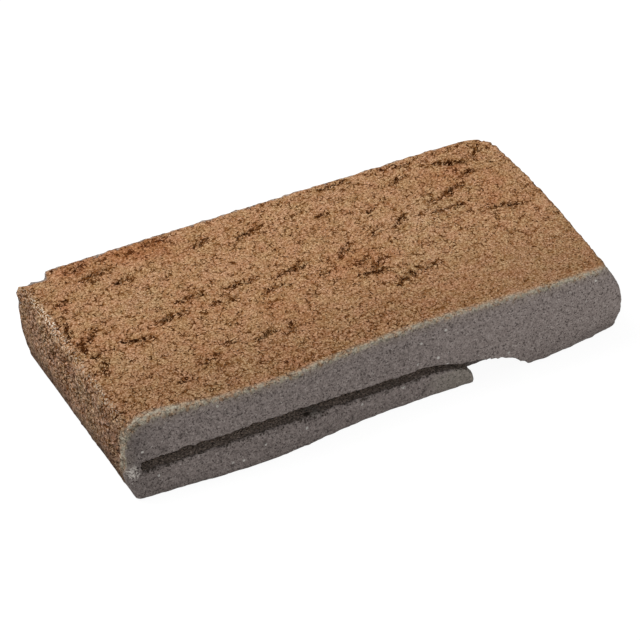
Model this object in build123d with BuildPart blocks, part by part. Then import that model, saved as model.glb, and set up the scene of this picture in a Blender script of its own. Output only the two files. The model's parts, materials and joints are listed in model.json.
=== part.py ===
"""Concrete wall block: a flat facing unit, lying with its rough face up.

One pressed piece. Its ends swell at mid height, its front long side is wavy and has a wavy connector slot that
ends in an open notch, one back corner is chipped, and the rough face has long torn hollows. X runs along the block,
Y from the slotted side to the plain side, Z up. The origin is at the centre of the base. Millimetres.
"""

import os

from build123d import *

# Overall size, at the furthest point of each side
BLOCK_LENGTH = 408.0
BLOCK_DEPTH = 213.0  # slotted side to plain side
BLOCK_HEIGHT = 64.0  # base to rough face
SWELL_LEVEL = 32.0  # where the ends stand out most

# How far the sides draw in from the overall size, at the base, at the swell and at the top.
# Front: the left corner, five stations and the right corner
FRONT_STATIONS = (0.0, 0.12, 0.28, 0.40, 0.62, 0.83, 1.0)  # shares of the way along the front
BASE_FRONT = (6.0, 3.0, 0.5, 6.0, 9.0, 8.0, 18.0)
SWELL_FRONT = (7.5, 5.5, 2.5, 6.5, 11.0, 6.5, 9.0)
TOP_FRONT = (13.0, 13.0, 7.0, 10.0, 14.0, 10.0, 8.0)
# Right end: front corner, middle, back corner
BASE_RIGHT = (3.0, 2.5, 4.5)
SWELL_RIGHT = (0.0, 0.0, 2.0)
TOP_RIGHT = (15.0, 8.0, 10.5)
# Back: right corner, middle, left corner
BASE_BACK = (8.0, 7.0, 10.0)
SWELL_BACK = (5.0, 3.5, 4.0)
TOP_BACK = (5.5, 1.0, 0.0)
# Left end: back corner, front corner
BASE_LEFT = (7.5, 7.5)
SWELL_LEFT = (3.5, 0.0)
TOP_LEFT = (7.5, 6.0)

# Worn corners and edges
CORNER_RADIUS = 5.0
BACK_RIGHT_RADIUS = 22.0
TOP_EDGE_RADIUS = 4.0
BASE_EDGE_BEVEL = 1.5

# Connector slot along the front long side
SLOT_DEPTH = 28.0  # from the furthest point of the front
SLOT_LEFT_WEB = 12.0  # solid concrete between the slot and the left end
SLOT_STATIONS = (0.0, 0.2, 0.5, 0.8, 1.0)  # shares of the way from its left end to where its roof sinks
SLOT_FLOOR = (23.5, 25.2, 26.6, 20.8, 19.7)
SLOT_ROOF = (32.5, 34.2, 35.8, 29.3, 27.3)

# Entry notch at the slot's right end, open to the base
NOTCH_WIDTH = 47.0
NOTCH_TO_RIGHT_END = 80.5
THROAT_ROOF = 21.3  # roof height where the slot opens into the notch
THROAT_HEIGHT = 5.3  # free height there
NOTCH_ROOF = 17.7  # roof height inside the notch
ROOF_RUN = 44.0  # length over which the slot's roof sinks to the notch
FLANGE_RAKE = 2.0  # how far the top of the flange's end stands back from its foot
FLANGE_DROP = 8.0  # how far the flange's top dips at its end
FLANGE_BULGE = 1.0  # how far the flange's end is crowned

# Chipped corner, at the left end of the plain side
CHIP_LENGTH = 21.0
CHIP_WIDTH = 16.0
CHIP_DROP = 9.0

# Torn hollows in the rough face, where the mix did not close
HOLLOW_DEPTH = 0.25  # as a share of the width
HOLLOW_FLOOR = 0.25  # the floor's outline, as a share of the rim's
HOLLOWS = (
    # middle, as shares of the length and the depth from the centre; length; width; direction in degrees
    (-0.135, 0.09, 25.0, 5.5, 3),
    (-0.235, 0.10, 22.0, 5.0, 4),
    (-0.29, 0.03, 27.0, 6.0, 4),
    (-0.04, 0.07, 27.0, 6.5, 8),
    (-0.16, -0.215, 17.0, 5.0, 20),
    (-0.37, -0.03, 23.0, 5.0, -15),
    (-0.435, 0.065, 15.0, 5.0, 40),
    (-0.355, 0.385, 23.0, 6.0, 6),
    (-0.325, 0.30, 11.0, 4.0, 10),
    (-0.15, 0.365, 13.0, 4.5, 20),
    (-0.05, 0.35, 25.0, 5.0, 12),
    (0.255, 0.36, 11.0, 4.5, 40),
    (0.37, 0.37, 23.0, 6.5, -20),
    (0.17, 0.25, 11.0, 4.0, 40),
    (0.205, 0.145, 17.0, 5.0, 30),
    (0.075, 0.085, 19.0, 6.0, 40),
    (0.095, -0.08, 23.0, 6.0, -10),
    (0.14, -0.16, 25.0, 6.0, 30),
    (0.34, 0.22, 19.0, 5.5, 20),
    (0.31, 0.125, 27.0, 5.5, 0),
    (0.40, 0.04, 25.0, 5.5, -18),
)

HALF_LENGTH = BLOCK_LENGTH / 2
HALF_DEPTH = BLOCK_DEPTH / 2
SLOT_LEFT = -HALF_LENGTH + SLOT_LEFT_WEB
NOTCH_RIGHT = HALF_LENGTH - NOTCH_TO_RIGHT_END
NOTCH_LEFT = NOTCH_RIGHT - NOTCH_WIDTH
ROOF_BEND = NOTCH_LEFT - ROOF_RUN
BELOW_BASE = -BLOCK_HEIGHT / 4  # how far the notch's cutter reaches past the base


def outline(level, front, right, back, left):
    """The block's plan at one level, from how far each point of its sides draws in there."""
    x_left = -HALF_LENGTH + left[1]
    x_right = HALF_LENGTH - right[0]
    wave = [
        (x_left + share * (x_right - x_left), -HALF_DEPTH + inset)
        for share, inset in zip(FRONT_STATIONS, front)
    ]
    back_right = (HALF_LENGTH - right[2], HALF_DEPTH - back[0])
    back_left = (-HALF_LENGTH + left[0], HALF_DEPTH - back[2])
    with BuildSketch(Plane.XY.offset(level)) as plan:
        with BuildLine():
            add(Edge.make_spline([Vector(*point) for point in wave], parameters=FRONT_STATIONS))
            ThreePointArc(wave[-1], (HALF_LENGTH - right[1], 0), back_right)
            ThreePointArc(back_right, (0, HALF_DEPTH - back[1]), back_left)
            Line(back_left, wave[0])
        make_face()
    return plan.sketch


def gouge(length, width):
    """A flat-sided boat that leaves a torn hollow in the face that it is set on."""
    depth = HOLLOW_DEPTH * width
    rim = (
        (-length / 2, 0),
        (-length / 6, -width / 2),
        (length / 4, -width / 3),
        (length / 2, 0),
        (length / 6, width / 2),
        (-length / 4, width / 3),
    )
    with BuildPart() as boat:
        for level, share in ((depth, 2 - HOLLOW_FLOOR), (-depth, HOLLOW_FLOOR)):
            with BuildSketch(Plane.XY.offset(level)):
                Polygon([(share * along, share * across) for along, across in rim], align=None)
        loft(ruled=True)
    return boat.part


with BuildPart() as wall_block:
    # Body: plans at the base, the swell and the top, lofted
    base_plan = outline(0, BASE_FRONT, BASE_RIGHT, BASE_BACK, BASE_LEFT)
    swell_plan = outline(SWELL_LEVEL, SWELL_FRONT, SWELL_RIGHT, SWELL_BACK, SWELL_LEFT)
    top_plan = outline(BLOCK_HEIGHT, TOP_FRONT, TOP_RIGHT, TOP_BACK, TOP_LEFT)
    loft([base_plan, swell_plan, top_plan])

    # Worn corners, then worn edges
    corners = wall_block.edges().filter_by(lambda edge: edge.bounding_box().size.Z > BLOCK_HEIGHT / 2)
    corners = corners.sort_by(Axis((0, 0, 0), (1, 1, 0)))
    fillet(corners[:-1], CORNER_RADIUS)
    corners = wall_block.edges().filter_by(lambda edge: edge.bounding_box().size.Z > BLOCK_HEIGHT / 2)
    fillet(corners.sort_by(Axis((0, 0, 0), (1, 1, 0)))[-1], BACK_RIGHT_RADIUS)
    fillet(wall_block.faces().sort_by(Axis.Z)[-1].edges(), TOP_EDGE_RADIUS)
    chamfer(wall_block.faces().sort_by(Axis.Z)[0].edges(), BASE_EDGE_BEVEL)

    # Chip: a ramp that falls towards the plain side, at the left end
    with BuildSketch(Plane.YZ.offset(-HALF_LENGTH)):
        with BuildLine():
            Polyline(
                (HALF_DEPTH - CHIP_WIDTH, BLOCK_HEIGHT),
                (HALF_DEPTH, BLOCK_HEIGHT - CHIP_DROP),
                (HALF_DEPTH, BLOCK_HEIGHT),
                close=True,
            )
        make_face()
    extrude(amount=TOP_LEFT[0] + CHIP_LENGTH, mode=Mode.SUBTRACT)

    # Torn hollows
    gouges = []
    for share_along, share_across, length, width, direction in HOLLOWS:
        middle = Pos(share_along * BLOCK_LENGTH, share_across * BLOCK_DEPTH, BLOCK_HEIGHT)
        gouges.append(middle * Rot(0, 0, direction) * gouge(length, width))
    add(gouges, mode=Mode.SUBTRACT)

    # Slot and entry notch, drawn on the front and cut straight in
    with BuildSketch(Plane.XZ.offset(HALF_DEPTH)):
        with BuildLine():
            along = [SLOT_LEFT + share * (ROOF_BEND - SLOT_LEFT) for share in SLOT_STATIONS]
            floor = list(zip(along, SLOT_FLOOR))
            roof = list(zip(along, SLOT_ROOF))
            flange_top = SLOT_FLOOR[-1] - FLANGE_DROP
            flange_tip = (NOTCH_LEFT - FLANGE_RAKE, flange_top)
            flange_crown = (NOTCH_LEFT - FLANGE_RAKE / 2 + FLANGE_BULGE, flange_top / 2)
            Spline(roof)
            Line(roof[0], floor[0])
            Spline(floor)
            Spline(
                floor[-1],
                (NOTCH_LEFT - ROOF_RUN / 4, THROAT_ROOF - THROAT_HEIGHT),
                flange_tip,
                tangents=((1, 0), (1, -1)),
            )
            ThreePointArc(flange_tip, flange_crown, (NOTCH_LEFT, 0))
            Polyline((NOTCH_LEFT, 0), (NOTCH_LEFT, BELOW_BASE), (NOTCH_RIGHT, BELOW_BASE), (NOTCH_RIGHT, 0))
            Spline(
                (NOTCH_RIGHT, 0),
                (NOTCH_LEFT + ROOF_RUN / 4, NOTCH_ROOF),
                (NOTCH_LEFT - ROOF_RUN / 4, THROAT_ROOF),
                roof[-1],
                tangents=((-1, 1), (-1, 0)),
            )
        make_face()
    extrude(amount=-SLOT_DEPTH, mode=Mode.SUBTRACT)

# The waves put the sides a little off the overall size: set the origin at the centre of the base
extents = wall_block.part.bounding_box()
block = Pos(-extents.center().X, -extents.center().Y, -extents.min.Z) * wall_block.part
block.label = "wall_block"

os.makedirs("parts", exist_ok=True)
export_step(block, "parts/wall_block.step")
print("volume", round(block.volume), "mm3", block.bounding_box())
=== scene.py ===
# %% [markdown]
# # A pressed concrete wall block
# The real thing is a flat facing block, pressed in a mould from two mixes of concrete. A brown mix with
# sharp sand makes the rough face and the ends, and a grey mix makes the body. It lies with its rough
# face up. The CAD model already has the true outline, the wavy slot, the notch and the largest torn
# hollows, so this lesson adds only what a mould and a tumbling yard add: grain, pits, worn arrises and
# colour.

# %% Load the model
import json
import math
import random

import bpy
import numpy as np
from mathutils import Matrix, Vector, kdtree, noise

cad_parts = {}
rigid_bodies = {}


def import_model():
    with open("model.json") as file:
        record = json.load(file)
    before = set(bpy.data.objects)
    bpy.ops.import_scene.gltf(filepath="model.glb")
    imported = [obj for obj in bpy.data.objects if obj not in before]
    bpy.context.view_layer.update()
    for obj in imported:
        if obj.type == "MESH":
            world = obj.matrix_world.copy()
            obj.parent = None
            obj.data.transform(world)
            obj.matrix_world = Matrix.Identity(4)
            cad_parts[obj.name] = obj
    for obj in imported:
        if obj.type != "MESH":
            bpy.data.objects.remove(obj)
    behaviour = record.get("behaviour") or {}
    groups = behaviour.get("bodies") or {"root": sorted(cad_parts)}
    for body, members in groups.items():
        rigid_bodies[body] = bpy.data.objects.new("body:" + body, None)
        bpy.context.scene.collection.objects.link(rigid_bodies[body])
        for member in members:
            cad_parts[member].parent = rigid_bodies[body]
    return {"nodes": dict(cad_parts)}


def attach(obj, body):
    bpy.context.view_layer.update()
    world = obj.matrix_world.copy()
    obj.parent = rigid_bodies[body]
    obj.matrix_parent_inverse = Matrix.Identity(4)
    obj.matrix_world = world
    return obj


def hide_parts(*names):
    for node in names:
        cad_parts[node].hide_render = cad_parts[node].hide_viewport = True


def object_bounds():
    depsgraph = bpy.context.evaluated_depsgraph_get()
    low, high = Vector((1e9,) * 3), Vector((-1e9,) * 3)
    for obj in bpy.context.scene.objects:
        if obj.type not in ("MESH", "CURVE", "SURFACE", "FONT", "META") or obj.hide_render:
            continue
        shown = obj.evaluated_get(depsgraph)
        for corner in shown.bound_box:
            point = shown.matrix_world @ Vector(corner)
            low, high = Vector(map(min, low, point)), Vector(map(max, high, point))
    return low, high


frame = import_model()
cad_low, cad_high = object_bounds()
MM = 0.001
print("CAD box in mm:", [round(v / MM, 1) for v in (*cad_low, *cad_high)])

# %% [markdown]
# ## Camera
# A long lens from far away keeps the long edges almost parallel, as in the product picture. The angles
# were found by laying the CAD outline over that picture. A Track To constraint could aim the camera,
# but it would keep it level, and the block isn't level there. So the camera's three directions are
# worked out, turned by a small roll and written into its matrix.

# %% Camera
AIM = Vector((0, 0, 32)) * MM
DISTANCE = 2826.5 * MM
AROUND, ABOVE, ROLL = (math.radians(angle) for angle in (25.25, 37.5, -2.5))
PICTURE_PIXELS = 640  # width and height of the picture
FOCAL_PIXELS = 3800  # focal length, in those pixels
PICTURE_OFFSET = Vector((0.4, 11.0))  # how far right of and above the middle the aim lies, in pixels
SENSOR_WIDTH = 36  # mm
FURTHEST_SEEN = 20  # m

backward = Vector(
    (-math.sin(AROUND) * math.cos(ABOVE), -math.cos(AROUND) * math.cos(ABOVE), math.sin(ABOVE))
)
level_right = Vector((0, 0, 1)).cross(backward).normalized()
level_up = backward.cross(level_right)
right = level_right * math.cos(ROLL) + level_up * math.sin(ROLL)
up = level_up * math.cos(ROLL) - level_right * math.sin(ROLL)
sideways = (right * PICTURE_OFFSET.x + up * PICTURE_OFFSET.y) * (DISTANCE / FOCAL_PIXELS)

bpy.ops.object.select_all(action="DESELECT")
bpy.ops.object.camera_add()
camera = bpy.context.object
camera.name = "picture_camera"
directions = Matrix((right, up, backward)).transposed().to_4x4()
camera.matrix_world = Matrix.Translation(AIM + backward * DISTANCE - sideways) @ directions
camera.data.sensor_width = SENSOR_WIDTH
camera.data.lens = SENSOR_WIDTH * FOCAL_PIXELS / PICTURE_PIXELS
camera.data.clip_end = FURTHEST_SEEN
bpy.context.scene.camera = camera
print("camera at", [round(v, 3) for v in camera.location], "lens", camera.data.lens)

# %% [markdown]
# ## The casting
# The block's relief needs many small faces, and the CAD mesh has long thin ones. Subdividing those
# would give slivers, so a copy of the CAD mesh is merged and then remeshed into even squares, fine
# enough to keep the slot's narrow throat open. Remeshing rounds the edges off, so the squares are
# pulled back onto the CAD surface with a Shrinkwrap modifier. The base is flat and the back is plain,
# so a Decimate modifier then takes squares out there, most of all from the base.

# %% Even mesh over the CAD shape
VOXEL = 1.42 * MM
SAME_PLACE = 0.001 * MM  # corners closer together than this are merged


def seen_alone(obj):
    """Makes one object the only selected one, so that operators touch nothing else."""
    bpy.ops.object.select_all(action="DESELECT")
    obj.select_set(True)
    bpy.context.view_layer.objects.active = obj


casting = bpy.data.objects.new("block_casting", frame["nodes"]["wall_block"].data.copy())
bpy.context.scene.collection.objects.link(casting)
casting.data.materials.clear()
seen_alone(casting)
bpy.ops.object.mode_set(mode="EDIT")
bpy.ops.mesh.select_all(action="SELECT")
bpy.ops.mesh.remove_doubles(threshold=SAME_PLACE)
bpy.ops.object.mode_set(mode="OBJECT")
remesh = casting.modifiers.new("even_squares", "REMESH")
remesh.mode = "VOXEL"
remesh.voxel_size = VOXEL
bpy.ops.object.modifier_apply(modifier=remesh.name)
print("even mesh:", len(casting.data.polygons), "faces")

# %% Back onto the CAD surface
bpy.ops.object.mode_set(mode="EDIT")
bpy.ops.mesh.select_all(action="SELECT")
bpy.ops.mesh.vertices_smooth(factor=0.5, repeat=2)
bpy.ops.object.mode_set(mode="OBJECT")
snug = casting.modifiers.new("back_onto_cad", "SHRINKWRAP")
snug.target = frame["nodes"]["wall_block"]
snug.wrap_method = "NEAREST_SURFACEPOINT"
bpy.ops.object.modifier_apply(modifier=snug.name)
print("on the CAD surface:", len(casting.data.vertices), "vertices")

# %% Coarser where nobody looks
MOST_TRIANGLES = 185000
WEIGHT_STEPS = 40  # a vertex group takes one weight at a time, so weights are rounded to these steps
LONG_SIDES = 85  # the two long sides lie further from the middle than this, mm
BASE_SHARE, BACK_SHARE = 1.0, 0.2  # how freely squares are taken out of the base and the back


def points_of(obj):
    """The places and normals of an object's vertices, in millimetres, as two tables."""
    count = len(obj.data.vertices)
    places, normals = np.empty(count * 3), np.empty(count * 3)
    obj.data.vertices.foreach_get("co", places)
    obj.data.vertices.foreach_get("normal", normals)
    return places.reshape(-1, 3) / MM, normals.reshape(-1, 3)


def weigh(obj, name, weights):
    """Makes a vertex group from one weight per vertex."""
    group = obj.vertex_groups.new(name=name)
    steps = np.round(np.clip(weights, 0, 1) * WEIGHT_STEPS).astype(int)
    for step in range(1, WEIGHT_STEPS + 1):
        chosen = np.nonzero(steps == step)[0]
        if len(chosen):
            group.add(chosen.tolist(), step / WEIGHT_STEPS, "REPLACE")


def triangle_count(obj):
    """How many triangles an object's faces make."""
    return sum(len(face.vertices) - 2 for face in obj.data.polygons)


places, normals = points_of(casting)
on_base = normals[:, 2] < -0.95
on_back = (normals[:, 1] > 0.7) & (places[:, 1] > LONG_SIDES)
weigh(casting, "plain", np.where(on_base, BASE_SHARE, np.where(on_back, BACK_SHARE, 0.0)))
coarser = casting.modifiers.new("coarser", "DECIMATE")
coarser.vertex_group = "plain"
coarser.ratio = MOST_TRIANGLES / triangle_count(casting)
seen_alone(casting)
bpy.ops.object.modifier_apply(modifier=coarser.name)
bpy.ops.object.shade_smooth()
print("casting:", len(casting.data.vertices), "vertices,", triangle_count(casting), "triangles")

# %% [markdown]
# ## Where each mix shows
# On the real block the brown mix covers the face and wraps round the ends, and the grey mix shows on
# the two long sides and underneath. The border runs along the worn arrises. It could be two materials
# on two sets of faces, but then it would follow the edges of the mesh. So for every vertex these cells
# work out how far it lies from the border, in millimetres, positive on the grey. The number is kept on
# the mesh as an attribute, and the material can draw a ragged border from it at any fineness.

# %% Distance from every side
FACING = 0.75  # how squarely a normal points out of a side that it counts for
ENDS = 185  # the two ends lie further from the middle than this, mm
LEVELS = ((3, 9), (9, 16), (37, 45), (50, 58))  # bands of height clear of the slot, mm
HALVES = ((-90, 0), (0, 90))  # bands of depth, mm


def smooth_step(low, high, value):
    """0 below low, 1 above high, and an even S between; low may be the larger."""
    share = np.clip((value - low) / (high - low), 0, 1)
    return share * share * (3 - 2 * share)


def side_line(along, across, chosen, step=4.0):
    """The middle place of the chosen vertices across a side, for every place along it."""
    bins = np.round(along[chosen] / step).astype(int)
    stations = np.unique(bins)
    middles = [across[chosen][bins == station].mean() for station in stations]
    return np.interp(along, stations * step, middles)


def side_surface(along, across, other, facing, bands):
    """Where a side lies for every vertex, from its lines in a few bands of the other direction."""
    chosen_bands = [facing & (other > low) & (other < high) for low, high in bands]
    lines = np.array([side_line(along, across, chosen) for chosen in chosen_bands])
    middles = np.array([(low + high) / 2 for low, high in bands])
    above = np.clip(np.searchsorted(middles, other), 1, len(bands) - 1)
    share = np.clip((other - middles[above - 1]) / (middles[above] - middles[above - 1]), 0, 1)
    each = np.arange(len(along))
    return lines[above - 1, each] * (1 - share) + lines[above, each] * share


places, normals = points_of(casting)
x, y, z = places.T
from_front = y - side_surface(x, y, z, (normals[:, 1] < -FACING) & (y < -LONG_SIDES), LEVELS)
from_back = side_surface(x, y, z, (normals[:, 1] > FACING) & (y > LONG_SIDES), LEVELS) - y
from_left = x - side_surface(z, x, y, (normals[:, 0] < -FACING) & (x < -ENDS), HALVES)
from_right = side_surface(z, x, y, (normals[:, 0] > FACING) & (x > ENDS), HALVES) - x
from_top = cad_high.z / MM - z
print("largest distance behind the front, mm:", round(from_front.max(), 1))

# %% Border between the brown and the grey mix
CORNER_SWEEP = 17.0  # the border's round turn at the front left corner, mm
ROUND_CORNER = 9.0  # how far the grey goes round the front right corner, mm
LOW_CORNER = 12.0  # how far it goes round the front left corner below the slot, mm
OVER_BACK = 2.0  # how far it comes over the back arris, mm
BORDER_REACH = 40  # distances are kept up to this, mm


def keep_on_mesh(obj, name, values):
    """Stores one number per vertex as a named attribute."""
    layer = obj.data.attributes.get(name) or obj.data.attributes.new(name, "FLOAT", "POINT")
    layer.data.foreach_set("value", np.asarray(values, dtype=np.float32))


over_top = np.maximum(CORNER_SWEEP - from_top, 0)
over_left = np.maximum(CORNER_SWEEP - from_left, 0)
within = np.minimum(np.maximum(CORNER_SWEEP - from_top, CORNER_SWEEP - from_left), 0)
brown_side = CORNER_SWEEP - np.hypot(over_top, over_left) - within
brown_side = np.minimum(brown_side, from_right + ROUND_CORNER)
brown_side += LOW_CORNER * smooth_step(34, 16, z) * smooth_step(24, 8, from_front)
grey_side = np.minimum(np.minimum(from_front, from_back - OVER_BACK), z)
border = np.clip(brown_side - grey_side, -BORDER_REACH, BORDER_REACH)
keep_on_mesh(casting, "border_mm", border)
print("grey share of the vertices:", round(float((border > 0).mean()), 2))

# %% [markdown]
# ## Relief
# Pressed concrete is never flat: the face heaves by a millimetre over a hand's width, lumps of sand
# stand out of it, and the arrises crumble. Sculpting would do it once, by hand. Here each kind is a
# Displace modifier with a cloud texture of its own size, weighted by a vertex group, so that every
# height stays a number to change. The underside stays flat, because the block rests on it.

# %% Where the relief goes
SLOT_LEFT, SLOT_BACK, SLOT_TOP = -193.5, -77, 38  # a box round the slot, mm
SLOT_RELIEF = 0.5  # share of the relief that is left deep inside the slot
off_base = smooth_step(0.6, 5.0, z)
edge = smooth_step(0.05, 0.24, 1 - np.abs(normals).max(axis=1))
in_slot = (from_front > 1) & (y < SLOT_BACK) & (z < SLOT_TOP) & (x > SLOT_LEFT)
quiet = np.where(in_slot & (from_front > 5), SLOT_RELIEF, 1.0)
on_face = smooth_step(1.0, -3.0, border) * off_base
on_body = (1 - smooth_step(1.0, -3.0, border)) * off_base * quiet
print("vertices on the face:", int((on_face > 0.5).sum()), "on the body:", int((on_body > 0.5).sum()))

# %% Vertex groups for the relief
RIGHT_END = 0.25  # how rough the right end is beside the left one
BROKEN_CORNER, CORNER_REACH = (-192, 96), 14  # the chipped corner's middle in the plan, and its size, mm
LIP_REACH = 4  # how far in from the front the slot's lips have crumbled, mm


def hump(distance, reach):
    """1 at no distance, and about a third at the reach."""
    return np.exp(-((distance / reach) ** 2))


def near_ends(outer, inner, right_share):
    """1 at the left end and right_share at the right one, fading in between two depths in millimetres."""
    at_right = right_share * smooth_step(outer, inner, from_right)
    return np.maximum(smooth_step(outer, inner, from_left), at_right)


lips = hump(from_front, LIP_REACH) * smooth_step(12, 17, z) * smooth_step(44, 39, z)
lips *= smooth_step(55, 20, x) * (x > -196)
corner = hump(np.hypot(x - BROKEN_CORNER[0], y - BROKEN_CORNER[1]), CORNER_REACH)
weigh(casting, "face", on_face)
weigh(casting, "ends", near_ends(9, 2, RIGHT_END) * on_face)
weigh(casting, "body", on_body)
weigh(casting, "arris", edge * off_base * quiet * np.where(from_right < 14, 0.5, 1.0))
weigh(casting, "corner", corner * smooth_step(35, 50, z))
weigh(casting, "foot", edge * (z < 4))
weigh(casting, "lips", lips)
print("vertex groups:", [group.name for group in casting.vertex_groups])

# %% Heaves, lumps and grain
RELIEF = (
    # name, vertex group, size and height of its lumps in mm, octaves, direction
    ("heaves", "face", 55, 3.0, 2, "NORMAL"),
    ("lumps", "face", 9, 1.1, 3, "NORMAL"),
    ("sand", "face", 2.6, 0.6, 1, "NORMAL"),
    ("end_heaves", "ends", 24, 4.5, 2, "NORMAL"),
    ("end_lumps", "ends", 7, 3.4, 3, "NORMAL"),
    ("broken_corner", "corner", 7, 5.0, 3, "NORMAL"),
    ("body_heaves", "body", 40, 1.4, 2, "NORMAL"),
    ("body_lumps", "body", 6, 0.9, 3, "NORMAL"),
    ("body_sand", "body", 2.4, 0.5, 1, "NORMAL"),
    ("crumbled_arris", "arris", 7, 3.4, 3, "NORMAL"),
    ("ragged_foot", "foot", 11, 5.5, 3, "Y"),
    ("ragged_lips", "lips", 9, 3.0, 2, "Z"),
    ("crumbled_lips", "lips", 3, 2.4, 2, "NORMAL"),
)


def relieve(obj, name, group, size_mm, height_mm, octaves, direction):
    """Raises and sinks a vertex group by a cloud texture, along the normals or along one axis."""
    texture = bpy.data.textures.new(name, "CLOUDS")
    texture.noise_scale = size_mm * MM
    texture.noise_depth = octaves
    texture.noise_basis = "ORIGINAL_PERLIN"
    displace = obj.modifiers.new(name, "DISPLACE")
    displace.texture = texture
    displace.texture_coords = "LOCAL"
    displace.direction = direction
    displace.vertex_group = group
    displace.strength = height_mm * MM
    displace.mid_level = 0.5
    bpy.ops.object.modifier_apply(modifier=displace.name)


seen_alone(casting)
for kind in RELIEF:
    relieve(casting, *kind)
places, normals = points_of(casting)
print(len(RELIEF), "kinds of relief; highest point", round(places[:, 2].max(), 1), "mm")

# %% [markdown]
# ## Pits
# Where the dry mix did not close in the mould, the face has small open pits. Most of them run together
# in short rows, and between the rows the sand lies in clods with fine gaps. The rows are listed where the
# product picture has them, and a seeded random choice places the pits along each. More small pits are
# then scattered, thicker towards the back. Cutting a thousand pits with Boolean modifiers would be slow,
# so the depth of each vertex goes into one vertex group for one Displace modifier. It is also kept as an
# attribute, so that the material can darken each hollow.

# %% Rows of pits on the face
FACE_LEVEL = round(cad_high.z / MM)
PIT_ROWS = (
    # middle x, middle y, length, direction in degrees, number of pits
    (-55, 19, 24, 3, 8), (-95, 21, 22, 4, 6), (-118, 6, 26, 4, 9), (-16, 15, 26, 8, 8),
    (-36, 1, 14, 8, 4), (-75, 5, 16, -12, 5), (-91, -40, 4, 0, 4), (-66, -46, 16, 20, 6),
    (-112, -52, 10, 30, 4), (-45, -46, 10, 70, 4), (-150, -6, 22, -15, 6), (-181, 61, 8, 30, 5),
    (-178, 14, 14, 40, 4), (-145, 82, 22, 6, 8), (-155, 95, 14, 10, 6), (-88, 98, 20, 4, 8),
    (-60, 78, 12, 20, 4), (-132, 64, 10, 10, 3), (-20, 74, 24, 12, 5), (36, 66, 6, 0, 3),
    (158, 61, 7, 0, 6), (150, 79, 22, -20, 10), (118, 41, 8, 10, 5), (84, 31, 16, 30, 7),
    (62, 28, 12, 40, 4), (30, 18, 18, 40, 8), (36, -1, 8, 30, 4), (46, -8, 16, 20, 6),
    (38, -17, 22, -10, 8), (58, -34, 24, 30, 8), (78, -30, 14, 10, 4), (138, 47, 18, 20, 8),
    (126, 27, 26, 0, 7), (164, 9, 24, -18, 8), (176, 83, 12, 50, 5), (104, 77, 10, 40, 4),
    (-138, -66, 8, 0, 3), (7, 0, 8, 20, 4), (-182, -8, 12, 20, 4), (70, 53, 10, 40, 4),
    (-190, 30, 14, 80, 6), (-188, 5, 16, 75, 6), (-184, -24, 14, 70, 5), (112, 95, 20, -4, 5),
    (60, 96, 20, 4, 5),
)


def turned(along_x, along_y, degrees):
    """An offset in the plan, taken along and across a direction."""
    cosine, sine = math.cos(math.radians(degrees)), math.sin(math.radians(degrees))
    return along_x * cosine + along_y * sine, along_y * cosine - along_x * sine


chance = random.Random(11)
pits = []
for row_x, row_y, length, direction, count in PIT_ROWS:
    for step in range(count):
        along = length * ((step + 0.5) / count - 0.5) + chance.gauss(0, 1.0)
        aside = chance.gauss(0, 1.2)
        off_x, off_y = turned(along, aside, -direction)
        middle = Vector((row_x + off_x, row_y + off_y, FACE_LEVEL))
        half_width = chance.uniform(0.9, 1.6)
        half_length = half_width * chance.uniform(1.2, 2.6)
        heading = direction + chance.gauss(0, 30)
        pits.append((middle, half_length, half_width, heading, chance.uniform(1.2, 2.6)))
pits_in_rows = len(pits)
print(pits_in_rows, "pits in", len(PIT_ROWS), "rows")

# %% How near each place lies to a row
ROW_REACH = 4.5  # mm
opened = np.zeros(len(places))
row_mm = np.zeros(len(places))
for row_x, row_y, length, direction, _ in PIT_ROWS:
    along, aside = turned(places[:, 0] - row_x, places[:, 1] - row_y, direction)
    past_end = np.maximum(np.abs(along) - length / 2, 0)
    near = hump(np.hypot(past_end, aside), ROW_REACH)
    row_mm = np.where(near > opened, aside, row_mm)
    opened = np.maximum(opened, near)
keep_on_mesh(casting, "opened", opened * on_face)
keep_on_mesh(casting, "row_mm", row_mm)
print("vertices on the rows:", int((opened > 0.5).sum()))

# %% Scattered pits
SCATTERED_PITS = 700


def unit(number):
    """A number, kept between 0 and 1."""
    return min(max(number, 0), 1)


while len(pits) < pits_in_rows + SCATTERED_PITS:
    middle = Vector((chance.uniform(-197, 197), chance.uniform(-90, 103), FACE_LEVEL))
    if chance.random() > 0.3 + 0.7 * unit((middle.y + 60) / 130):
        continue
    half_width = 0.8 + 0.9 * chance.random() ** 2
    half_length = half_width * chance.uniform(1.0, 2.4)
    pits.append((middle, half_length, half_width, chance.gauss(15, 40), 0.5 + half_width * 0.5))
print(len(pits), "pits in all")

# %% How deep each vertex lies in a pit
tree = kdtree.KDTree(len(places))
for index, place in enumerate(places):
    tree.insert(place, index)
tree.balance()


def share_of_pit(place, middle, half_length, half_width, direction):
    """How far a place lies down one ragged pit, from 0 at its lip to 1 on its floor."""
    off = place - middle
    along, aside = turned(off.x, off.y, direction)
    reach = math.hypot(along / half_length, aside / half_width)
    reach = reach + 0.45 * noise.noise(place * 0.6) + 0.3 * noise.noise(place * 0.23)
    return unit((1.1 - reach) / 0.55)


sunk = np.zeros(len(places))
pit = np.zeros(len(places))
for middle, half_length, half_width, direction, depth in pits:
    for found, index, _ in tree.find_range(middle, half_length * 1.5 + 3):
        if on_face[index] > 0.3 and normals[index][2] > 0.2:
            flat = Vector((found.x, found.y, FACE_LEVEL))
            share = share_of_pit(flat, middle, half_length, half_width, direction)
            sunk[index] = max(sunk[index], share * depth)
            pit[index] = max(pit[index], share)
print("deepest pit", round(sunk.max(), 2), "mm")

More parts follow.
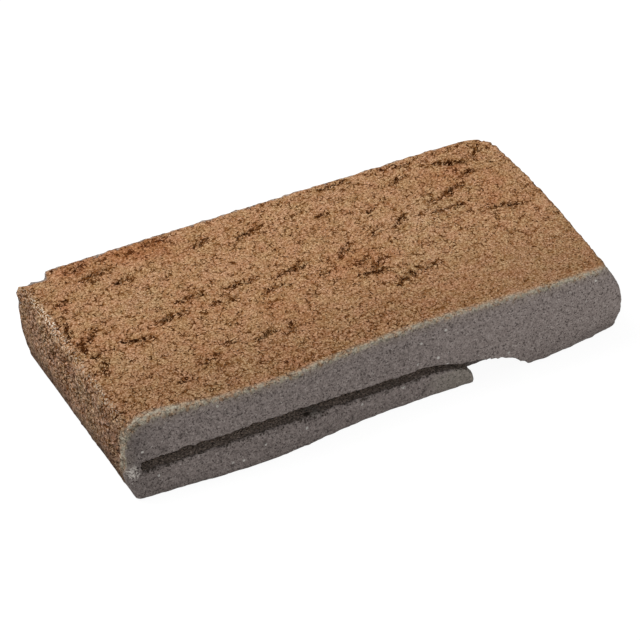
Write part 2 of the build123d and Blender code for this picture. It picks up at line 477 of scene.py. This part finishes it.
# %% Gaps between clods
CLOD = 5.5  # size of a clod of sand, mm
GAP_BEND, GAP_BEND_SIZE = 0.35, 9  # how far the gaps wander, in clods, and over how many mm
LOOSE_PATCH, LOOSE_SPOT = 30, 11  # sizes of the places where the gaps open, mm
GAP_SEED = 11
noise.seed_set(GAP_SEED)  # without a seed, noise_vector starts from the clock
near_end = near_ends(16, 3, RIGHT_END) * smooth_step(10, 40, z)
for index in np.nonzero(on_face > 0.3)[0]:
    place = Vector(places[index])
    nearest = noise.voronoi(place / CLOD + noise.noise_vector(place / GAP_BEND_SIZE) * GAP_BEND)[0]
    gap = 1 - unit((nearest[1] - nearest[0]) / 0.25)
    openness = noise.noise(place / LOOSE_PATCH) + 0.5 * noise.noise(place / LOOSE_SPOT)
    open_here = unit((openness + 0.55 * near_end[index]) / 0.35)
    sunk[index] = max(sunk[index], gap * open_here * (0.6 + 1.1 * near_end[index]))
    pit[index] = max(pit[index], 0.9 * gap * open_here * near_end[index])
print("share of the face that is open:", round(float((pit[on_face > 0.5] > 0.3).mean()), 3))

# %% Small pits on the long side and chips at the slot
SIDE_PITS = 160
LONG_SIDE_Y = -102  # about where the front long side lies, mm
CHIPS = (
    # a place where a flake is out of the slot's lips, its radius and its depth
    (Vector((-61, -103, 22)), 4.5, 3.0),
    (Vector((-196, -101, 28)), 4.0, 2.6),
)
side_pits = []
while len(side_pits) < SIDE_PITS:
    middle = Vector((chance.uniform(-195, 195), LONG_SIDE_Y, chance.uniform(4, 60)))
    if chance.random() < 0.75 - 0.6 * unit((middle.x - 40) / 80):
        side_pits.append((middle, chance.uniform(0.7, 1.3), chance.uniform(0.4, 0.9)))
for middle, radius, depth in (*side_pits, *CHIPS):
    for found, index, _ in tree.find_range(middle, radius * 1.4 + 9):
        if normals[index][1] < -0.3 and on_body[index] > 0.1:
            off = math.hypot(found.x - middle.x, found.z - middle.z) / radius
            share = unit((1.1 - off - 0.4 * noise.noise(found * 0.5)) / 0.6)
            sunk[index] = max(sunk[index], share * depth * off_base[index])
            pit[index] = max(pit[index], share * min(1, 1.4 / radius))
print(len(side_pits), "small pits on the long side and", len(CHIPS), "chips")

# %% Sink all the pits
DEEPEST = 3.0  # mm
weigh(casting, "pits", sunk / DEEPEST)
seen_alone(casting)
sink = casting.modifiers.new("sink_pits", "DISPLACE")
sink.vertex_group = "pits"
sink.strength = -DEEPEST * MM
sink.mid_level = 0
bpy.ops.object.modifier_apply(modifier=sink.name)
# The pit depth is kept for the material, which paints shade into each hollow from it.
keep_on_mesh(casting, "pit", pit)
keep_on_mesh(casting, "crumbled", near_end * on_face)
places, normals = points_of(casting)
x, y, z = places.T
print("lowest point", round(z.min(), 2), "mm")

# %% [markdown]
# ## Laitance, dust, wear and painted shade
# Along the front arris the brown mix thinned out into a pale skin of cement, wider at the left corner.
# The slot is painted dark with dust and painted shade, with a ragged band of painted shade on its
# crumbled lips, and a short crack runs down from it, drawn as painted shade. The left end is worn, and its
# top arris is rubbed pale. All of these follow the block's own shape, so they are worked out per vertex
# and kept as attributes. A texture alone could not know where the slot is.

# %% Pale skin
skin_width = 3.5 + 5.0 * smooth_step(-125, -185, x)
pale = smooth_step(-skin_width - 5.0, -skin_width + 1.0, border) * (from_front < 20) * smooth_step(14, 32, z)
flange_end = smooth_step(30, 60, x) * (x < 82) * smooth_step(19, 15, z) * smooth_step(8, 4, from_front)
keep_on_mesh(casting, "pale", pale)
keep_on_mesh(casting, "flange_end", flange_end)
print("pale vertices:", int((pale > 0.3).sum()))

# %% Slot with dust and painted shade
SLOT_ENDS = (-198.0, 74.0)  # where the slot's dark begins and ends along the block, mm
CRUMBLED_AT, CRUMBLED_REACH = -55.0, 16.0  # where the lips have crumbled most, mm
CRUMBLED_LIP = 2.0  # how much further the dark reaches there, mm
LOWER_LIP = 1.5  # how much less dark lies on the lower lip than on the upper one, mm
PALER_SLOT_FLOOR = 0.7  # the slot's floor is painted paler, with less dust and painted shade, as if it lay this much deeper, mm
FRONT_DEPTH = 0.8  # the front's own surface counts as no deeper than this, mm
SLOT_REACH = 6  # distances from the slot and the crack are kept up to this, mm
# The slot and a ragged band over its lips are painted with dust and painted shade, darkest at the mouth and
# paler deeper in.
slot_floor = side_line(x, z, in_slot & (normals[:, 2] > 0.8) & (x < SLOT_ENDS[1]))
slot_roof = side_line(x, z, in_slot & (normals[:, 2] < -0.8) & (x < SLOT_ENDS[1]))
clogged = hump(x - CRUMBLED_AT, CRUMBLED_REACH)
outside = np.maximum(slot_floor + LOWER_LIP - z, z - slot_roof) - CRUMBLED_LIP * clogged
outside = np.maximum(outside, np.maximum(SLOT_ENDS[0] - x, x - SLOT_ENDS[1]))
inside = in_slot & (from_front > 1.5) & (x < SLOT_ENDS[1])
depth = from_front / 2 + PALER_SLOT_FLOOR * (normals[:, 2] > 0.5)
outside = np.where(inside, -depth, np.maximum(outside, -FRONT_DEPTH))
at_front = (from_front < 32) & (y < -70)
slot_mm = np.where(at_front, np.clip(outside, -SLOT_REACH, SLOT_REACH), SLOT_REACH)
keep_on_mesh(casting, "slot_mm", slot_mm)
keep_on_mesh(casting, "clogged", clogged * at_front)
print("vertices in the slot's dark:", int((slot_mm < 0).sum()))

# %% Crack below the slot
CRACK = ((-53, 28), (-58, 27), (-62, 25.5), (-63.5, 23), (-63.8, 20.5))  # x and z on the front, mm


def off_line(first, second, corners):
    """How far places lie from a line with corners, in a plane of two directions."""
    nearest = np.full(len(first), np.inf)
    for (a, b), (c, d) in zip(corners, corners[1:]):
        run_a, run_b = c - a, d - b
        share = ((first - a) * run_a + (second - b) * run_b) / (run_a**2 + run_b**2)
        share = np.clip(share, 0, 1)
        off = np.hypot(first - a - share * run_a, second - b - share * run_b)
        nearest = np.minimum(nearest, off)
    return nearest


crack_mm = np.minimum(off_line(x, z, CRACK), SLOT_REACH)
crack_mm = np.where(at_front & (from_front < 6), crack_mm, SLOT_REACH)
keep_on_mesh(casting, "crack_mm", crack_mm)
print("vertices at the crack:", int((crack_mm < 1).sum()))

# %% Worn ends
RIGHT_WEAR = 0.5  # how worn the right end is beside the left one
RUB_WIDTH = 2.2  # mm
RUB_MIDDLE, RUB_REACH = 48, 30  # where along the end its arris is rubbed most, mm
BROKEN_WEB = Vector((-198.5, -100, 26.5))  # the broken concrete at the slot's left end, mm
BROKEN_WEB_SIZE = (4.5, 8, 5.5)
keep_on_mesh(casting, "end_wear", near_ends(9, 1, RIGHT_WEAR) * smooth_step(2, 12, from_top))
rubbed = hump(from_left - 1, RUB_WIDTH) * smooth_step(10, 3, from_top)
rubbed *= 0.45 + 0.55 * hump(y - RUB_MIDDLE, RUB_REACH)
keep_on_mesh(casting, "rubbed", rubbed)
from_web = np.linalg.norm((places - BROKEN_WEB) / BROKEN_WEB_SIZE, axis=1)
keep_on_mesh(casting, "broken_web", hump(from_web, 1))
print("rubbed vertices:", int((rubbed > 0.3).sum()))

# %% Tints over the face
TINTS = (
    # middle x, middle y, reach, redder (or paler if negative)
    (-132, 97, 26, 1.0), (-96, 100, 20, 1.0), (-163, 93, 14, 0.7), (-181, 60, 9, 0.8),
    (-150, -8, 16, 0.4), (30, 5, 26, 0.5), (150, 78, 20, 0.5), (160, 35, 26, 0.3),
    (-30, -40, 30, 0.3), (-60, -72, 22, 0.4), (92, 8, 30, -0.8), (110, 30, 18, -0.5),
    (-140, 40, 30, -0.5), (-160, -30, 20, -0.5), (-60, 40, 26, -0.3),
)
tint = np.zeros(len(places))
for middle_x, middle_y, reach, redder in TINTS:
    tint += redder * hump(np.hypot(x - middle_x, y - middle_y), reach)
keep_on_mesh(casting, "tint", tint)
print("tint from", round(tint.min(), 2), "to", round(tint.max(), 2))

# %% [markdown]
# ## Concrete
# The two mixes are one material, because they set as one casting. Grains of sand are cells of a Voronoi
# texture, each a little lighter or darker than the next, and the gaps between them and the small holes
# are darkened as painted shade. An image of concrete would be quicker, but it would stretch on the ends
# and repeat. Everything here reads Object coordinates in metres, so the grain keeps its real size on every
# side.

# %% Helpers for the material
concrete = bpy.data.materials.new("two_mix_concrete")
concrete.use_nodes = True
nodes, links = concrete.node_tree.nodes, concrete.node_tree.links
nodes.clear()


def node(kind, sockets=(), **settings):
    """Adds a node, sets it up, and links or fills its sockets by name or number."""
    made = nodes.new(kind)
    for name, value in settings.items():
        setattr(made, name, value)
    for name, value in dict(sockets).items():
        if hasattr(value, "is_linked"):
            links.new(value, made.inputs[name])
        else:
            made.inputs[name].default_value = value
    return made


at = node("ShaderNodeTexCoord").outputs["Object"]


def clouds(size_mm, detail=2.0):
    """Cloudy noise, from 0 to 1, with patches of about one size."""
    sockets = {"Vector": at, "Scale": 1 / (size_mm * MM), "Detail": detail}
    return node("ShaderNodeTexNoise", sockets).outputs["Fac"]


def spread(value, low, high, to_low, to_high):
    """Takes a value between two numbers to a value between two others."""
    sockets = {"Value": value, "From Min": low, "From Max": high, "To Min": to_low, "To Max": to_high}
    return node("ShaderNodeMapRange", sockets).outputs["Result"]


print("material", concrete.name, "started")

# %% Grains and gaps
GRAIN = 1.6  # size of a grain of sand, mm


def reckon(operation, first, second=0.0):
    """One sum on one or two numbers."""
    return node("ShaderNodeMath", {0: first, 1: second}, operation=operation).outputs[0]


def times(first, *others):
    """The product of some numbers."""
    for other in others:
        first = reckon("MULTIPLY", first, other)
    return first


cells = node("ShaderNodeTexVoronoi", {"Vector": at, "Scale": 1 / (GRAIN * MM)})
grain_tone = node("ShaderNodeSeparateColor", {"Color": cells.outputs["Color"]}).outputs["Red"]
fine = clouds(0.7, 1.0)
between = spread(cells.outputs["Distance"], 0.35, 0.75, 1, 0)
holes = spread(clouds(1.5, 1.0), 0.30, 0.37, 0, 1)
# Painted shade: the gaps between the grains and the small holes are darker.
sand = times(
    spread(grain_tone, 0, 1, 0.84, 1.24),
    spread(between, 0, 1, 0.66, 1.1),
    spread(holes, 0, 1, 0.25, 1.0),
    spread(fine, 0.3, 0.7, 0.75, 1.25),
)
print(len(nodes), "nodes with the grains")

# %% [markdown]
# ### Hair cracks and torn strands
# The dry sand of the face split as it was pressed. Hair cracks run round small clods, and along the
# rows of pits the sand tore into dark broken strands with a paler lip in front. They are finer than the
# mesh, so the material draws them, the cracks and strands as painted shade and each lip as a painted
# highlight. The cracks are the edges of a bent Voronoi texture, shown only where the face is loose. The
# strands follow the distance from the middle of a row, which was kept on the mesh.

# %% Hair cracks between clods
HAIR_CLOD = 4.5  # size of the clods between the cracks, mm
HAIR_BEND, HAIR_BEND_SIZE = 5, 6  # how far the cracks wander, and over what length, mm


def kept(name):
    """A number that was kept on the mesh."""
    return node("ShaderNodeAttribute", attribute_name=name).outputs["Fac"]


def largest(first, *others):
    """The largest of some numbers."""
    for other in others:
        first = reckon("MAXIMUM", first, other)
    return first


lengthwise, inwards, upwards = node("ShaderNodeSeparateXYZ", {"Vector": at}).outputs
bends = node("ShaderNodeTexNoise", {"Vector": at, "Scale": 1 / (HAIR_BEND_SIZE * MM), "Detail": 2.0})
sockets = {0: bends.outputs["Color"], 1: (HAIR_BEND * MM,) * 3, 2: at}
bent = node("ShaderNodeVectorMath", sockets, operation="MULTIPLY_ADD").outputs["Vector"]
sockets = {"Vector": bent, "Scale": 1 / (HAIR_CLOD * MM)}
clods = node("ShaderNodeTexVoronoi", sockets, feature="DISTANCE_TO_EDGE")
# Hair cracks, drawn as painted shade.
hair = spread(clods.outputs["Distance"], 0.04, spread(kept("opened"), 0.2, 0.9, 0.11, 0.18), 1, 0)
loose = largest(
    kept("opened"),
    spread(clouds(9), 0.46, 0.60, 0, 0.78),
    spread(kept("crumbled"), 0.2, 0.7, 0, 0.6),
    spread(inwards, -0.03, -0.075, 0, 0.55),
)
smoother = times(spread(lengthwise, 0.02, 0.09, 0, 0.7), spread(inwards, -0.02, -0.06, 0, 1))
loose = times(loose, reckon("SUBTRACT", 1.0, smoother))
hair = times(loose, spread(clouds(3.3, 1.0), 0.42, 0.55, 0, 1), hair)
print(len(nodes), "nodes with the hair cracks")

# %% Strands of torn sand along the rows of pits
STRAND_WANDER = 3  # how far a strand wanders to each side, mm
STRAND_RIM = 0.35  # width of a strand's soft rim, mm
LIP_IN_FRONT = 1.6  # how far in front of a strand its paler lip, a painted highlight, lies, mm


def plus(first, second):
    """Two numbers added up."""
    return reckon("ADD", first, second)


def strand(offset, bend_mm, break_mm, half_width):
    """A dark broken line of painted shade beside the middle of a row, and the paler lip in front of it, a
    painted highlight.
    """
    wander = spread(clouds(bend_mm), 0.25, 0.75, offset - STRAND_WANDER, offset + STRAND_WANDER)
    middle = plus(kept("row_mm"), wander)
    broken = spread(clouds(break_mm, 1.0), 0.44, 0.58, -0.5, half_width)
    rim = plus(broken, STRAND_RIM)
    dark = spread(reckon("ABSOLUTE", middle), broken, rim, 1, 0)
    lip = spread(reckon("ABSOLUTE", plus(middle, LIP_IN_FRONT)), broken, rim, 1, 0)
    return dark, lip


torn, torn_lip = strand(0.0, 6, 3.4, 0.5)
rent, rent_lip = strand(2.8, 5, 2.6, 0.3)
on_row = spread(kept("opened"), 0.25, 0.6, 0, 1)
torn = times(largest(torn, rent), on_row)
lip = times(largest(torn_lip, rent_lip), on_row)
print(len(nodes), "nodes with the strands")

# %% Hollows, and how light the sand is
# Painted shade in the hollows of the pits and clod gaps, stronger near the ends.
hollow = plus(kept("pit"), spread(clouds(1.6), 0.25, 0.75, -0.45, 0.45))
hollow = spread(hollow, 0.7, 0.9, 0, 1)
hollow_shade = spread(hollow, 0, 1, 0, spread(kept("crumbled"), 0.1, 0.6, 0.5, 0.95))
opening = largest(hair, torn, hollow_shade)
# Painted shade darkens the sand in the cracks, strands and hollows, and the lips' painted highlight lightens
# it.
tone = times(sand, spread(opening, 0, 1, 1, 0.03), spread(lip, 0, 1, 1, 1.35))
print(len(nodes), "nodes with the hollows")

# %% [markdown]
# ### The two mixes
# The brown mix runs from almost black in the painted shade of the cracks to pale ochre on the grains,
# with redder and paler patches, and it is a little dimmer towards the front and on the worn ends. The
# grey mix is calmer, with dark specks and a few white crumbs. A colour ramp gives each mix its shades,
# because the shades of a real mix change in hue as they get darker, which a plain multiplication can't do.

# %% Brown mix
BROWN_SHADES = (
    (0.045, 0.011, 0.001),
    (0.20, 0.076, 0.019),
    (0.365, 0.194, 0.096),
    (0.515, 0.308, 0.174),
    (0.67, 0.43, 0.265),
)
REDDER, PALER = (0.90, 0.74, 0.66, 1), (1.0, 1.08, 1.12, 1)
OCHRE, ROSY = (0.98, 1.015, 0.95, 1), (1.025, 0.975, 1.0, 1)
WORN_END = (0.82, 0.91, 1.12, 1)


def toned(value, colours):
    """A colour that runs through some colours as a value goes from 0 to 1."""
    ramp = node("ShaderNodeValToRGB", {"Fac": value})
    while len(ramp.color_ramp.elements) < len(colours):
        ramp.color_ramp.elements.new(0.5)
    for number, (stop, colour) in enumerate(zip(ramp.color_ramp.elements, colours)):
        stop.position = number / (len(colours) - 1)
        stop.color = (*colour, 1)
    return ramp.outputs["Color"]


def blend(share, first, second, kind="MIX"):
    """Mixes two colours."""
    sockets = {0: share, 6: first, 7: second}
    return node("ShaderNodeMix", sockets, data_type="RGBA", blend_type=kind).outputs[2]


def dim(colour, by):
    """A colour times a number."""
    return node("ShaderNodeVectorMath", {0: colour, "Scale": by}, operation="SCALE").outputs["Vector"]


brown = toned(spread(tone, 0.1, 1.6, 0, 1), BROWN_SHADES)
brown = dim(brown, spread(inwards, -0.1, 0.0, 0.64, 0.84))
brown = dim(brown, spread(lengthwise, -0.19, -0.03, 0.92, 1.0))
drift = plus(kept("tint"), spread(clouds(25, 3.0), 0.3, 0.7, -0.5, 0.5))
brown = blend(spread(drift, 0.1, 1.2, 0, 1), brown, REDDER, "MULTIPLY")
brown = blend(spread(drift, -0.1, -1.0, 0, 1), brown, PALER, "MULTIPLY")
hue = blend(spread(clouds(11), 0.35, 0.65, 0, 1), OCHRE, ROSY)
brown = blend(1.0, brown, hue, "MULTIPLY")
brown = blend(kept("end_wear"), brown, WORN_END, "MULTIPLY")
crusty = spread(clouds(2.6, 3.0), 0.34, 0.66, 0.50, 1.60)
# The ends get darker towards the bottom.
crusty = times(crusty, spread(upwards, 0.008, 0.032, 0.42, 1.0))
brown = dim(brown, spread(kept("end_wear"), 0, 1, 1.0, crusty))
print(len(nodes), "nodes with the brown mix")

# %% Grey mix
GREY_SHADES = ((0.07, 0.055, 0.05), (0.265, 0.222, 0.205), (0.41, 0.357, 0.332))
WHITE_CRUMB = (0.58, 0.55, 0.51, 1)
# The grey's specks include painted shade in its small pits and chips.
speck = times(
    sand,
    spread(clouds(1.5, 1.0), 0.36, 0.42, 0.3, 1.0),
    spread(clouds(4), 0.35, 0.65, 0.76, 1.24),
    spread(hollow, 0, 1, 1, 0.3),
)
grey = toned(spread(speck, 0, 1.8, 0.12, 0.88), GREY_SHADES)
grey = dim(grey, spread(lengthwise, -0.12, 0.15, 0.90, 1.07))
# Painted shade on the rounded front left corner of the grey mix.
grey = dim(grey, spread(lengthwise, -0.197, -0.165, 0.70, 1.0))
for apart_mm, strength in ((13, 0.95), (6, 0.45)):
    crumbs = node("ShaderNodeTexVoronoi", {"Vector": at, "Scale": 1 / (apart_mm * MM)})
    grey = blend(spread(crumbs.outputs["Distance"], 0.07, 0.11, strength, 0.0), grey, WHITE_CRUMB)
print(len(nodes), "nodes with the grey mix")

# %% [markdown]
# ### Border, wear, dust and painted shade
# The distance that was kept on the mesh chooses between brown and grey, with noise added so that the
# border wanders grain by grain. The pale skin, the rubbed arris, the broken concrete at the slot's end,
# the slot's dust and painted shade and the crack's painted shade are then laid over it one by one, each
# where its own attribute says and each broken up by noise. The wear lies over the mixes and the dust over
# the wear, as on a real block, and the slot's painted shade is laid with its dust.

# %% Border and pale skin
SKIN, FLANGE_SKIN = (0.305, 0.272, 0.212), (0.30, 0.27, 0.225)
NEAR_BORDER = (1.0, 0.985, 0.93, 1)
ragged = plus(kept("border_mm"), spread(clouds(6, 3.0), 0, 1, -4.0, 4.0))
ragged = plus(ragged, spread(grain_tone, 0, 1, -1.6, 1.6))
soft_sand = spread(sand, 0.2, 1.8, 0.65, 1.35)
skin = times(kept("pale"), spread(clouds(3.5), 0.36, 0.58, 0.3, 1.0))
brown = blend(skin, brown, dim(SKIN, soft_sand))
grey = blend(spread(ragged, 1.0, 8.0, 1, 0), grey, NEAR_BORDER, "MULTIPLY")
grey = blend(spread(kept("flange_end"), 0, 1, 0, 0.6), grey, dim(FLANGE_SKIN, soft_sand))
colour = blend(spread(ragged, -1.2, 1.2, 0, 1), brown, grey)
print(len(nodes), "nodes with the border")

# %% Rubbed arris and broken concrete
RUBBED_SAND = (0.68, 0.60, 0.49, 1)
BROKEN_CONCRETE = (0.62, 0.57, 0.52, 1)
rub = times(kept("rubbed"), spread(clouds(1.5), 0.54, 0.62, 0, 1))
colour = blend(rub, colour, RUBBED_SAND)
crumb = times(kept("broken_web"), spread(clouds(1.4), 0.40, 0.55, 0.2, 1))
colour = blend(spread(crumb, 0.15, 0.6, 0, 0.9), colour, BROKEN_CONCRETE)
print(len(nodes), "nodes with the wear")

# %% Dust and painted shade in the slot, and the crack's painted shade
SLOT_DUST_AND_SHADE, CLOGGED_DUST = (0.22, 0.178, 0.15), (0.22, 0.20, 0.18)
CRACK_SHADE = (0.03, 0.023, 0.018, 1)
# Dust and painted shade: a ragged dark band over the slot's lips and inside the slot, darkest at its mouth.
lip_mm = plus(kept("slot_mm"), spread(clouds(3.2, 3.0), 0.3, 0.7, -3.6, 2.4))
lip_mm = plus(lip_mm, spread(clouds(1.3, 1.0), 0.3, 0.7, -2.4, 2.4))
shade = spread(lip_mm, -0.6, 1.0, 0.95, 0)
dust_and_shade = times(
    sand,
    spread(kept("slot_mm"), -5.0, 0.0, 1.5, 0.38),
    spread(clouds(1.3), 0.35, 0.65, 0.5, 1.7),
)
colour = blend(shade, colour, dim(SLOT_DUST_AND_SHADE, dust_and_shade))
clog = spread(times(kept("clogged"), clouds(2.6)), 0.40, 0.5, 0, 0.8)
colour = blend(times(clog, shade), colour, dim(CLOGGED_DUST, soft_sand))
# The crack is drawn as a line of painted shade.
crack = plus(kept("crack_mm"), spread(clouds(2.2), 0.25, 0.75, -0.7, 0.7))
colour = blend(spread(crack, 0.8, 1.4, 0.95, 0), colour, CRACK_SHADE)
print(len(nodes), "nodes with the dust")

# %% [markdown]
# ### Finish of the surface
# Dry concrete has almost no gloss. The grains, the small holes and the cracks also go into a Bump node,
# because they are finer than the mesh, while every larger shape is real relief.

# %% Finish of the surface
BUMP_HEIGHT = 1.3  # mm
height = plus(spread(between, 0, 1, 0, 0.3), spread(holes, 0, 1, 0, 0.5))
height = plus(height, spread(fine, 0, 1, 0, 0.3))
height = reckon("SUBTRACT", height, spread(opening, 0, 1, 0, 0.8))
bump = node("ShaderNodeBump", {"Height": height, "Strength": 1.0, "Distance": BUMP_HEIGHT * MM})
surface = node(
    "ShaderNodeBsdfPrincipled",
    {"Base Color": colour, "Normal": bump.outputs["Normal"], "Roughness": 0.93, "Specular IOR Level": 0.05},
)
node("ShaderNodeOutputMaterial", {"Surface": surface.outputs["BSDF"]})
casting.data.materials.append(concrete)
print("concrete:", len(nodes), "nodes")

# %% [markdown]
# ## Floor and light
# The product picture is cut out on white. The floor is white for the camera and keeps a soft shadow
# under the block. One large soft lamp stands high behind the block, on the left, so that the front lies
# in soft shade and every pit on the face has a dark far wall. The pale world fills in, at a level at
# which a colour renders about as it is written.

# %% White floor
FLOOR_SIZE = 8  # m
FLOOR_LEVEL = -0.4 * MM  # just clear of the base
SEEN_GLOW, SEEN_PAPER, LIT_PAPER = 0.94, 0.09, 0.8  # glow and paper for the eye, and paper for light alone
bpy.ops.object.select_all(action="DESELECT")
bpy.ops.mesh.primitive_plane_add(size=FLOOR_SIZE, location=(0, 0, FLOOR_LEVEL))
floor = bpy.context.object
floor.name = "white_floor"
bpy.ops.object.transform_apply(location=True, rotation=True, scale=True)
paper = bpy.data.materials.new("white_paper")
paper.use_nodes = True
nodes, links = paper.node_tree.nodes, paper.node_tree.links
nodes.clear()


def seen_rays():
    """1 for rays that the eye follows, in a mirror or through glass too, and 0 for those that only light."""
    path = node("ShaderNodeLightPath").outputs
    return largest(path["Is Camera Ray"], path["Is Glossy Ray"], path["Is Transmission Ray"])


def matt(level):
    """A matt grey of one level."""
    return node("ShaderNodeBsdfDiffuse", {"Color": (level, level, level, 1)}).outputs[0]


glow = node("ShaderNodeEmission", {"Color": (1, 1, 1, 1), "Strength": SEEN_GLOW})
seen = node("ShaderNodeAddShader", {0: glow.outputs[0], 1: matt(SEEN_PAPER)})
both = node("ShaderNodeMixShader", {0: seen_rays(), 1: matt(LIT_PAPER), 2: seen.outputs[0]})
node("ShaderNodeOutputMaterial", {"Surface": both.outputs[0]})
floor.data.materials.append(paper)
print("floor", FLOOR_SIZE, "m across")

# %% Lamp and world
LAMP_PLACE = (-0.8, 0.75, 1.8)  # m
LAMP_SIZE = 1.2  # m
LAMP_POWER = 46  # W
ROOM_LIGHT, ROOM_SEEN = 0.6, 1.0  # how bright the world is as light, and for the eye
bpy.ops.object.light_add(type="AREA", location=LAMP_PLACE)
lamp = bpy.context.object
lamp.name = "soft_lamp"
lamp.data.size = LAMP_SIZE
lamp.data.energy = LAMP_POWER
lamp.rotation_euler = (-lamp.location).to_track_quat("-Z", "Y").to_euler()

world = bpy.data.worlds.new("pale_room")
bpy.context.scene.world = world
world.use_nodes = True
nodes, links = world.node_tree.nodes, world.node_tree.links
nodes.clear()
level = spread(seen_rays(), 0, 1, ROOM_LIGHT, ROOM_SEEN)
room = node("ShaderNodeBackground", {"Color": (1, 1, 1, 1), "Strength": level})
node("ShaderNodeOutputWorld", {"Surface": room.outputs[0]})
bpy.context.scene.view_settings.view_transform = "Standard"
print("lamp of", lamp.data.energy, "W at", [round(v, 2) for v in lamp.location])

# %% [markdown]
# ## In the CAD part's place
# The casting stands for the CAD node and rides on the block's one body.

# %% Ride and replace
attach(casting, "root")
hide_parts("wall_block")
